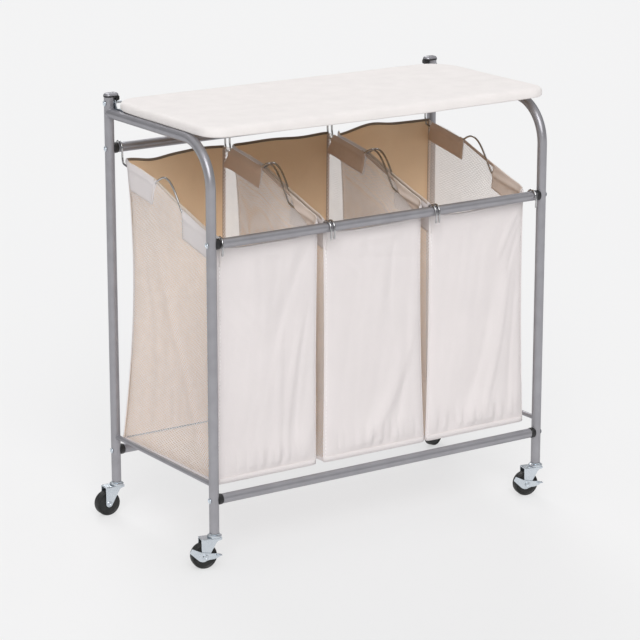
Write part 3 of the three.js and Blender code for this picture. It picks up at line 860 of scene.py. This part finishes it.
class Bag:
    """The hanging shape of one bag: where any point of its front, rear, sides and bottom lies."""

    # how far the upright corners lean sideways: (left, right) at the top, then at the bottom
    LEANS = {
        "left_bag": {"front": ((0, -8), (-8, -12)), "rear": ((5, -4), (-15, -6))},
        "middle_bag": {"front": ((-7.5, -12), (-7.5, 1)), "rear": ((4, 0), (-2, 2))},
        "right_bag": {"front": ((-5, -6), (-8, 3)), "rear": ((13, 10), (-4, 12))},
    }
    REAR_WAVES = {"left_bag": ((0.27, -8), (0.75, 2)), "middle_bag": ((0.7, -2), (0.3, 1)),
                  "right_bag": ((0.0, -7), (0.36, 7))}
    FRONT_WAVES = {"left_bag": ((0.15, -2.5), (0.52, 1.2)), "middle_bag": ((0.15, -2), (0.62, 1.5)),
                   "right_bag": ((0.22, -1.5), (0.6, 2), (0.85, 1))}

    # the front folds: (u, v) of the start and the end, the bow, the reach to each side and the height, in mm
    FOLDS = {
        "left_bag": ((0.02, 0.86, 0.38, 0.64, 4, 10, 3.2), (0.02, 0.74, 0.30, 0.56, 3, 8, 2.6),
                     (0.0, 0.62, 0.18, 0.50, 2, 7, 2.0), (0.90, 0.95, 0.55, 0.56, 6, 17, -5.0),
                     (0.62, 0.60, 0.60, 0.16, 3, 12, 2.6), (0.93, 0.74, 0.76, 0.06, 8, 10, -3.6),
                     (0.84, 0.62, 0.68, 0.12, 6, 9, 2.8), (0.97, 0.20, 0.88, 0.02, 2, 9, 3.0)),
        "middle_bag": ((0.12, 0.90, 0.36, 0.80, -5, 8, -3.4), (0.28, 0.88, 0.92, 0.83, -3, 7, -2.6),
                       (0.97, 0.66, 0.34, 0.02, -26, 20, 6.5), (0.86, 0.60, 0.66, 0.04, -10, 13, -4.4),
                       (0.95, 0.52, 0.93, 0.10, 2, 9, 3.0), (0.72, 0.92, 0.66, 0.66, 2, 10, -2.2)),
        "right_bag": ((0.97, 0.98, 0.74, 0.78, 3, 8, 4.4), (0.99, 0.90, 0.83, 0.70, 3, 7, -3.6),
                      (0.76, 0.84, 0.30, 0.05, -12, 24, -6.0), (0.84, 0.70, 0.52, 0.03, -8, 11, 4.2),
                      (0.94, 0.66, 0.83, 0.05, 4, 9, -4.6), (0.97, 0.40, 0.93, 0.05, 2, 7, 2.6),
                      (0.44, 0.99, 0.40, 0.86, 2, 16, 2.6)),
    }

    def __init__(self, name, seed):
        low, high = node_box(name)
        self.name, self.seed = name, seed
        self.left, self.right = low.x, high.x
        self.depth, self.bottom = high.y, low.z
        self.lean = self.LEANS[name]
        self.panels = (("front", self.front, -1), ("rear", self.rear, 1))

    def corner_x(self, panel, side, v):
        top, bottom = self.lean[panel]
        low = (1 - v) ** 1.6
        shift = top[side] + (bottom[side] - top[side]) * low
        pinch = 2.5 * math.sin(math.pi * v) * (-1 if side else 1)
        return (self.right if side else self.left) + shift + pinch

    def rear_tuck(self, side, v):
        """How far the rear panel's left edge is drawn in, so that the net wraps round the corner."""
        return 0 if side else REAR_TUCK * math.sin(math.pi * v)

    def front_rim(self, u):
        sag = FRONT_SAG * math.sin(math.pi * u) ** 0.16
        waves = sum(height * bell(u - place, 0.16) for place, height in self.FRONT_WAVES[self.name])
        return FRONT_RIM_HEIGHT - sag + waves * math.sin(math.pi * u)

    def rear_rim(self, u):
        waves = sum(height * bell(u - place, 0.17) for place, height in self.REAR_WAVES[self.name])
        return REAR_RIM_HEIGHT + waves * min(1.0, 8 * (1.02 - u))

    def folds(self, u, v):
        """The front panel's own folds, each a ridge (or a groove) along a bowed line."""
        width, height = self.right - self.left, 450
        value = 0.0
        for u0, v0, u1, v1, bow, reach, lift in self.FOLDS[self.name]:
            start = Vector((u0 * width, v0 * height))
            along = Vector((u1 * width, v1 * height)) - start
            place = Vector((u * width, v * height)) - start
            t = place.dot(along) / along.length_squared
            if not -0.15 < t < 1.15:
                continue
            off = (place.x * along.y - place.y * along.x) / along.length - bow * 4 * t * (1 - t)
            fade = ease((t + 0.15) / 0.35) * ease((1.15 - t) / 0.35)
            value += FOLD_SHARE * lift * fade * bell(off, reach if off > 0 else reach * 0.6)
        return value

    def relief(self, u, v, panel):
        """Folds of a canvas panel: broad swells, its own folds, and gathers above the bottom seam."""
        s = self.seed + panel * 11.3
        slanted = u + 0.36 * (1 - v)
        value = 5.0 * noise.noise(Vector((u * 1.9 + s, v * 1.6, s)))
        value += 2.2 * noise.noise(Vector((slanted * 5.2 + s, v * 1.6, 2 * s))) * (0.3 + u)
        value += 0.9 * noise.noise(Vector((slanted * 13, v * 5 + s, 4 * s)))
        value += 6.0 * noise.noise(Vector((u * 19 + v * 3, v * 1.5, s))) * bell(v - 0.06, 0.055)
        value += 4.5 * bell(v - 0.10, 0.07) * ease((u - 0.1) / 0.5)
        if panel == 1:
            value += self.folds(u, v)
            value -= 5.0 * bell(u - 0.05, 0.16) * bell(v - 0.96, 0.10)
            value += 3.0 * bell(v - 0.95, 0.028) * bell(u - 0.55, 0.3)
        else:
            value += 1.6 * self.folds(1 - u, v)
        return value * (math.sin(math.pi * u) ** 0.4)

    def front(self, u, v):
        """u from left to right, v from the bottom up to the hem."""
        z = self.bottom + (self.front_rim(u) - self.bottom) * v
        x = self.corner_x("front", 0, v) * (1 - u) + self.corner_x("front", 1, v) * u
        belly = 7 * math.sin(math.pi * u) * math.sin(math.pi * min(1, v * 1.08)) ** 0.8
        held = ease((1 - v) / 0.05) * ease((v - 0.022) / 0.03)
        y = -self.depth + corner_pull(u) - (belly + self.relief(u, v, 1)) * held
        return Vector((x, y, z))

    def rear(self, u, v):
        z = self.bottom + (self.rear_rim(u) - self.bottom) * v
        left = self.corner_x("rear", 0, v) + self.rear_tuck(0, v)
        x = left * (1 - u) + self.corner_x("rear", 1, v) * u
        belly = 4 * math.sin(math.pi * u) * math.sin(math.pi * min(1, v * 1.05)) ** 0.8
        held = ease((1 - v) / 0.08) * ease(v / 0.03)
        wave = 3.0 * math.sin(u * 9 + self.seed) * math.sin(math.pi * u) * ease((v - 0.8) / 0.2)
        y = self.depth - corner_pull(u) + (belly + self.relief(u, v, 2) * 0.7) * held * 0.8 - wave
        return Vector((x, y, z))

    def side(self, s, u, v):
        """s is 0 for left and 1 for right; u from front to rear."""
        sign = 1 if s else -1
        y = -self.depth + 2 * self.depth * u
        z = self.bottom + (rim_height(y) - self.bottom) * v
        x = self.corner_x("front", s, v) * (1 - u) + self.corner_x("rear", s, v) * u
        x += self.rear_tuck(s, v) * ease((u - 0.92) / 0.08)
        rod_x = (self.right if s else self.left) + sign * 2.3
        x += (rod_x - x) * ease((v - 0.84) / 0.12) * min(1.0, 14 * u, 14 * (1 - u))
        slack = 4.0 * math.sin(math.pi * u) * math.sin(math.pi * min(1, v * 1.1))
        ridge = 3.4 * bell(u - 0.07 - 0.85 * v, 0.035) * ease(v / 0.06) * ease((0.85 - v) / 0.3)
        ridge += 1.8 * bell(u - 0.86 + 0.05 * v, 0.03) * ease(v / 0.2) * ease((0.9 - v) / 0.3)
        drift = 3.0 * noise.noise(Vector((u * 4 + self.seed, v * 1.6, s * 5.0))) * math.sin(math.pi * u)
        inward = slack - ridge - drift + corner_pull(u)
        return Vector((x - sign * inward * ease((1 - v) / 0.1), y, z))

    def floor(self, u, w):
        """u from left to right, w from front to rear."""
        point = self.front(u, 0).lerp(self.rear(u, 0), w)
        sag = 4.0 * math.sin(math.pi * u) * math.sin(math.pi * w)
        sag += 0.8 * noise.noise(Vector((u * 5 + self.seed, w * 6, 1.5)))
        point.z = self.bottom + corner_pull(w, 3.5) - sag
        return point

    def on_side(self, s, y, z, away=0.0):
        """The point of a side at y and height z, moved away from the bag's middle."""
        u = (y + self.depth) / (2 * self.depth)
        v = (z - self.bottom) / (rim_height(y) - self.bottom)
        point = self.side(s, max(0, min(1, u)), min(1, v))
        point.z = z
        point.x += (1 if s else -1) * away
        return point


def corner_pull(u, most=3.4):
    """How far a panel turns in at both ends of u, so that the corners are round."""
    edge = min(u, 1 - u) / 0.05
    return most * (1 - min(1.0, edge)) ** 2


def spread(count, ends=0.012):
    """Steps from 0 to 1 that are finer near both ends."""
    fine = [0, ends, ends * 2.2, ends * 4]
    middle = [fine[-1] + (1 - 2 * fine[-1]) * i / count for i in range(1, count)]
    return fine + middle + [1 - t for t in reversed(fine)]


def make_canvas(bag):
    """Front, bottom and rear in one length of canvas."""
    us, vs = spread(56), spread(84)
    rows = [[bag.front(u, v) for u in us] for v in reversed(vs)]
    rows += [[bag.floor(u, w) for u in us] for w in spread(20)[1:-1]]
    rows += [[bag.rear(u, v) for u in us] for v in vs]
    shape = Shape().loft(rows, closed_rings=False, cap=False).flipped()
    piece = shape.piece(f"{bag.name}_canvas", bag.name, "canvas", [bag.name], "lining",
                        thickness=CANVAS_THICKNESS)
    length = 2 * bag.depth + (bag.front_rim(0.5) - bag.bottom) + (bag.rear_rim(0.5) - bag.bottom)


def make_net(bag, s, side):
    us, vs = spread(30), spread(44)
    shape = Shape().loft([[bag.side(s, u, v) for u in us] for v in vs], closed_rings=False, cap=False)
    net = shape.piece(f"{bag.name}_{side}_net", bag.name, "net")


def patch_rings(bag, s, corners, run):
    """Closed rings along a pocket, which swells where it holds the rod's run."""
    a, b, c, d = corners
    rings = []
    for k in range(31):
        top, low = a.lerp(b, k / 30), d.lerp(c, k / 30)
        outer, inner = [], []
        for i in range(15):
            y, z = top.lerp(low, i / 14)
            z = min(z, rim_height(y) + 0.6)
            edge = min(1.0, i / 1.5, (14 - i) / 1.5)
            wrinkle = 0.9 * edge * noise.noise(Vector((y * 0.05, z * 0.05, bag.seed + s)))
            half = 0.5 + 0.5 * edge + 3.0 * bell(z - between_points(run, y), 5) * min(1.0, i / 1.2)
            outer.append(bag.on_side(s, y, z, wrinkle + half))
            inner.append(bag.on_side(s, y, z, wrinkle - half))
        rings.append(outer + inner[::-1])
    return rings


def make_patches(bag, s, side):
    """Canvas corner pockets round the rod and the top of the net, pale outside and tan inside."""
    key = "end" if s and bag.name == "right_bag" else side
    for place, points in PATCHES[key].items():
        a, b, c, d = corners = [Vector(point) for point in points]
        rear = place == "rear"
        run = (*ROD_REAR, *HANDLE_ARC[:2]) if rear else (HANDLE_ARC[-1], *ROD_FRONT)
        # On the right sides the rear pockets' inner faces are a darker tan, painted shade; the front pockets'
        # are a paler tan.
        lining = ("flap" if rear else "pale_flap") if s else "lining"
        name = f"{bag.name}_{side}_{place}_patch"
        piece = Shape().loft(patch_rings(bag, s, corners, run)).piece(
            name, bag.name, "canvas", inside=lining, inward=(-SIDES[s][1], 0, 0))
        stitch_patch(bag, s, f"{name}_stitches", corners, (b, c) if rear else (a, d))


def ribbon(path, width_direction, half_width, half_thickness):
    """A flat tape with soft edges along a path."""
    half = ((-1, -0.5), (-0.96, -1), (0, -1.15), (0.96, -1), (1, -0.5))
    section = half + tuple((-across, -away) for across, away in half)
    rings = []
    for at in frames_along(path):
        tangent = at.to_3x3().col[2]
        wide = (width_direction - tangent * width_direction.dot(tangent)).normalized()
        thick = tangent.cross(wide)
        rings.append([at.translation + wide * half_width * across + thick * half_thickness * away
                      for across, away in section])
    return Shape().loft(rings)


def add_stitches(shape, path, away):
    """Adds a row of short threads along the path, lying on the side that away points to."""
    count = int(path_length(path) / STITCH_PITCH)
    ends = walk(path, [(k + share) * STITCH_PITCH for k in range(count) for share in (0.2, 0.8)])
    for start, end in zip(ends[::2], ends[1::2]):
        middle = start.lerp(end, 0.5) + away * 0.35
        frames = frames_along([start, middle, end])
        shape.loft([place_ring(at, radius, 5) for at, radius in zip(frames, (0.15, STITCH_RADIUS, 0.15))])


def stitch_hems(bag):
    for place, panel, outward in bag.panels:
        away = Vector((0, outward, 0))
        path = [panel(0.02 + 0.96 * i / 80, 0.0) + away * 0.9 + UP * 8.6 for i in range(81)]
        shape = Shape()
        add_stitches(shape, path, away)
        shape.piece(f"{bag.name}_{place}_hem_stitches", bag.name, "pale_binding")


def stitch_patch(bag, s, name, corners, inner_end):
    """Stitches near the lower and the inner edge of a patch, on both of its faces."""
    middle = sum(corners, Vector((0, 0))) / 4
    shape = Shape()
    for edge in ((corners[3], corners[2]), inner_end):
        start, end = (corner.lerp(middle, 0.08) for corner in edge)
        points = [start.lerp(end, i / 30) for i in range(31)]
        for face in (-1, 1):
            path = [bag.on_side(s, y, min(z, rim_height(y) - 3), face * 1.25) for y, z in points]
            add_stitches(shape, path, Vector((face * SIDES[s][1], 0, 0)))
    shape.piece(name, bag.name, "pale_binding")


def bind_tops(bag):
    """Tapes along the top edges of the rear and the front."""
    # The rear tape is dark brown: painted shade on what is a pale tape.
    for place, panel, drop, half_width, half_thickness, material in (
            ("rear", bag.rear, 1.6, 2.6, 1.1, "binding"), ("front", bag.front, 2, 2.4, 1.0, "canvas")):
        path = [panel(u, 1) - UP * drop for u in spread(50)]
        ribbon(path, UP, half_width, half_thickness).piece(f"{bag.name}_{place}_binding", bag.name, material)


def bind_bottoms(bag):
    """Tapes along the bottom edges of the front and the rear, and a seam inside the first bag."""
    if bag.name == BAGS[0]:
        # The seam inside the first bag is a dark brown tape: painted shade along the foot of the rear.
        path = [bag.rear(u, 0.0) + Vector((0, -1.6, 4.0)) for u in spread(50)]
        ribbon(path, UP, 1.3, 0.8).piece(f"{bag.name}_rear_inner_seam", bag.name, "binding")
    for place, panel, outward in bag.panels:
        path = [panel(u, 0.0) + Vector((0, outward, 4.6)) for u in spread(50)]
        ribbon(path, UP, 5.6, 0.7).piece(f"{bag.name}_{place}_bottom_seam", bag.name, "canvas",
                                         inside="lining", inward=(0, -outward, 0))


def bind_side(bag, s, side, sign):
    """Tapes round one side: its rim, its two upright seams and its bottom."""
    # The rim tape's inner face is darkened: painted shade.
    rim = [bag.on_side(s, y, rim_height(y) - 2.6, 0.6) for y in (52 - 212 * i / 60 for i in range(61))]
    ribbon(rim, UP, 3.0, 0.9).piece(f"{bag.name}_{side}_rim_binding", bag.name, "pale_binding",
                                    inside="rim_inside", inward=(-sign, 0, 0))
    for place, panel, outward in bag.panels:
        # On the right sides the rear seam is a wider tape whose inner face is darkened: painted shade.
        dark = place == "rear" and s
        path = [panel(s, 0.995 * i / 60) for i in range(61)]
        across = Vector((1, 0, 0)) if dark else Vector((sign, outward, 0))
        lining = "rim_inside" if dark else "pale_binding"
        ribbon(path, across, 3.2 if dark else 1.5, 1.0).piece(
            f"{bag.name}_{side}_{place}_seam", bag.name, "canvas", inside=lining,
            inward=(-sign * 0.5, -outward, 0))
    path = [bag.on_side(s, -bag.depth + 2 * bag.depth * i / 40, bag.bottom + 3.5) for i in range(41)]
    ribbon(path, UP, 3.5, 0.9).piece(f"{bag.name}_{side}_bottom_seam", bag.name, "canvas")


def make_bags():
    for i, name in enumerate(BAGS):
        bag = Bag(name, 2.7 + 4.1 * i)
        make_canvas(bag)
        for s, (side, _) in enumerate(SIDES):
            make_net(bag, s, side)
            make_patches(bag, s, side)
        bind_tops(bag)
        for s, (side, sign) in enumerate(SIDES):
            bind_side(bag, s, side, sign)
        bind_bottoms(bag)
        stitch_hems(bag)


# ---- casters

def caster_matrix(name):
    stem = joint_place(f"{name}_swivel")
    trail = joint_place(f"{name}_roll") - stem
    yaw = math.atan2(-trail.y, -trail.x)
    return Matrix.Translation((stem.x, stem.y, 0)) @ Matrix.Rotation(yaw, 4, "Z")


def upright(matrix, y):
    """Turns an X-Y outline into the caster's X-Z plane, with its thickness towards +Y from y."""
    return matrix @ Matrix(((1, 0, 0, 0), (0, 0, 1, y), (0, 1, 0, 0), (0, 0, 0, 1)))


def make_fork(name, matrix):
    radius, across = 7, PLATE_INNER + PLATE_THICKNESS
    edge = [point.yz for point in arc(-TRAIL, WHEEL_RADIUS, radius, 180, 320, 10)]
    outline = [(12, FORK_TOP), (-TRAIL - radius, FORK_TOP), *edge, (1, FORK_TOP - 9), (4, FORK_TOP - 6),
               (12, FORK_TOP - 4)]
    shape = Shape()
    for y in (-across, PLATE_INNER):
        shape.add(plate(outline, PLATE_THICKNESS, 0.45, upright(matrix, y)))
    crown = rounded_outline(-TRAIL - radius, 12, -across, across, [2.5] * 4, 4)
    shape.add(plate(crown, 2.2, 0.6, matrix @ Matrix.Translation((0, 0, FORK_TOP - 2.2))))
    race = [(0.01, FORK_TOP - 0.5), (13, FORK_TOP - 0.5), (14, FORK_TOP + 0.6), (14, FORK_TOP + 2.4),
            (12.6, FORK_TOP + 3.8), (10.6, FORK_TOP + 4.6), (9.6, FORK_TOP + 5.2), (9.4, LEG_FOOT - 0.8),
            (10.2, LEG_FOOT - 0.7), (10.2, LEG_FOOT - 0.4), (7.7, LEG_FOOT - 0.3), (7.7, 92), (6.7, 93),
            (0.01, 93)]
    shape.add(lathe(race, 40, matrix)).stand_for(f"{name}_fork", f"{name}_caster", "zinc", 35)


def make_wheel(name, matrix):
    half = WHEEL_HALF_WIDTH
    face = [(3.4, 9.5), (7.6, 9.5), (8.2, 9.0), (9.2, 7.6), (19.6, 7.3), (20.6, 8.2), (22.2, half),
            (23.6, 8.6), (24.6, 7.4), (WHEEL_RADIUS, 5.6), (WHEEL_RADIUS, 2)]
    profile = face + [(r, -y) for r, y in reversed(face)]
    axis = matrix @ Matrix.Translation((-TRAIL, 0, WHEEL_RADIUS)) @ Matrix.Rotation(math.pi / 2, 4, "X")
    lathe(profile, 72, axis, ring=True).stand_for(f"{name}_wheel", f"{name}_wheel", "tread", 30)


def make_axle(name, matrix, brake):
    outer = PLATE_INNER + PLATE_THICKNESS
    front = outer + (PLATE_THICKNESS + 0.9 if brake else 0)
    profile = [(0.01, outer + 2), (1.4, outer + 2), (2, outer + 1.2), (3.2, outer + 1.9), (4.8, outer + 1.5),
               (5.4, outer + 0.6), (5.4, outer), (3, outer), (3, -front), (5.4, -front), (5.4, -front - 0.6),
               (4.6, -front - 1.5), (2.4, -front - 1.9), (1.6, -front - 1.1), (0.01, -front - 1.1)]
    axis = matrix @ Matrix.Translation((-TRAIL, 0, WHEEL_RADIUS)) @ Matrix.Rotation(-math.pi / 2, 4, "X")
    lathe(profile, 28, axis).stand_for(f"{name}_axle", f"{name}_caster", "zinc", 35)


def make_lever(name, matrix):
    back = -(PLATE_INNER + PLATE_THICKNESS + 0.3)
    front = back - PLATE_THICKNESS
    corners = [(-30.8, 12.5), (-30.2, 10.6), (-19.9, 0.6), (-13, -6), (-9.6, -8.1), (-6, -9.2), (-1.3, -9.4),
               (3, -7.4), (8.3, -6.2), (18, -5.6), (26, -3), (31, 0.5), (31, 3.5), (24, 5), (13.5, 6.2),
               (0, 8.7), (-8.3, 10.6), (-24.5, 18.6), (-26.3, 19.3), (-28, 17.6)]
    outline = [(x - TRAIL, z + WHEEL_RADIUS) for x, z in reversed(corners)]
    shape = plate(outline, PLATE_THICKNESS, 0.5, upright(matrix, front))
    tab = rounded_outline(20 - TRAIL, 31 - TRAIL, front - 9, front + 0.8, [2.2] * 4, 4)
    shape.add(plate(tab, 1.6, 0.5, matrix @ Matrix.Translation((0, 0, WHEEL_RADIUS + 2.6))))
    for edge in (front - 9, front - 5):
        rib = rounded_outline(21.5 - TRAIL, 29.5 - TRAIL, edge + 1.2, edge + 2.4, [0.5] * 4, 2)
        shape.add(plate(rib, 0.6, 0.2, matrix @ Matrix.Translation((0, 0, WHEEL_RADIUS + 4.1))))
    shape.stand_for(f"{name}_brake_lever", f"{name}_brake", "zinc", 35)


def make_casters():
    for name in ("front_left", "front_right", "rear_left", "rear_right"):
        matrix = caster_matrix(name)
        brake = name.startswith("front")
        make_fork(name, matrix)
        make_wheel(name, matrix)
        make_axle(name, matrix, brake)
        if brake:
            make_lever(name, matrix)


# ---- stage, light and camera

def make_floor():
    bpy.ops.mesh.primitive_plane_add(size=80)
    floor = bpy.context.object
    floor.name = "floor"
    shader = Shader("pale_floor", Roughness=0.95, Specular_IOR_Level=0.1)
    shader.bsdf.inputs["Base Color"].default_value = (0.31, 0.31, 0.312, 1)
    shader.bsdf.inputs["Emission Color"].default_value = (1, 1, 1, 1)
    shader.bsdf.inputs["Emission Strength"].default_value = 0.555
    floor.data.materials.append(shader.material)


def make_sky():
    world = bpy.data.worlds.new("studio")
    bpy.context.scene.world = world
    world.use_nodes = True
    nodes, links = world.node_tree.nodes, world.node_tree.links
    place = nodes.new("ShaderNodeTexCoord")
    axes = nodes.new("ShaderNodeSeparateXYZ")
    ramp = nodes.new("ShaderNodeValToRGB")
    set_stops(ramp.color_ramp, [(height, (tone, tone, tone * 1.01)) for height, tone in SKY_TONES])
    links.new(place.outputs["Generated"], axes.inputs[0])
    links.new(axes.outputs[2], ramp.inputs["Fac"])
    links.new(ramp.outputs["Color"], nodes["Background"].inputs["Color"])
    nodes["Background"].inputs["Strength"].default_value = SKY_STRENGTH


def make_sun(name, strength, spread_angle, to_light):
    """A soft studio light that is far off in the given direction."""
    light = bpy.data.lights.new(name, "SUN")
    light.energy = strength
    light.angle = math.radians(spread_angle)
    lamp = bpy.data.objects.new(name, light)
    bpy.context.scene.collection.objects.link(lamp)
    lamp.rotation_euler = Vector(to_light).to_track_quat("Z", "Y").to_euler()


def make_lights():
    make_sun("key", KEY_STRENGTH, 42, (-0.42, -0.76, 0.66))
    make_sun("back", BACK_STRENGTH, 28, (0.28, 0.72, 0.62))


def make_camera():
    azimuth, down = math.radians(CAMERA_AZIMUTH), math.radians(CAMERA_DOWN)
    level = math.cos(down)
    forward = Vector((-math.sin(azimuth) * level, math.cos(azimuth) * level, -math.sin(down)))
    data = bpy.data.cameras.new("camera")
    data.sensor_width = 36
    data.lens = CAMERA_LENS
    camera = bpy.data.objects.new("camera", data)
    bpy.context.scene.collection.objects.link(camera)
    camera.location = Vector(CAMERA_AIM) - forward * CAMERA_DISTANCE
    camera.rotation_euler = forward.to_track_quat("-Z", "Y").to_euler()
    bpy.context.scene.camera = camera
    bpy.context.scene.view_settings.view_transform = "Standard"


make_camera()
make_sky()
make_lights()
make_floor()
make_tubes()
make_rails()
make_post_tops()
make_board()
make_hinge_brackets()
make_rods()
make_bags()
make_casters()
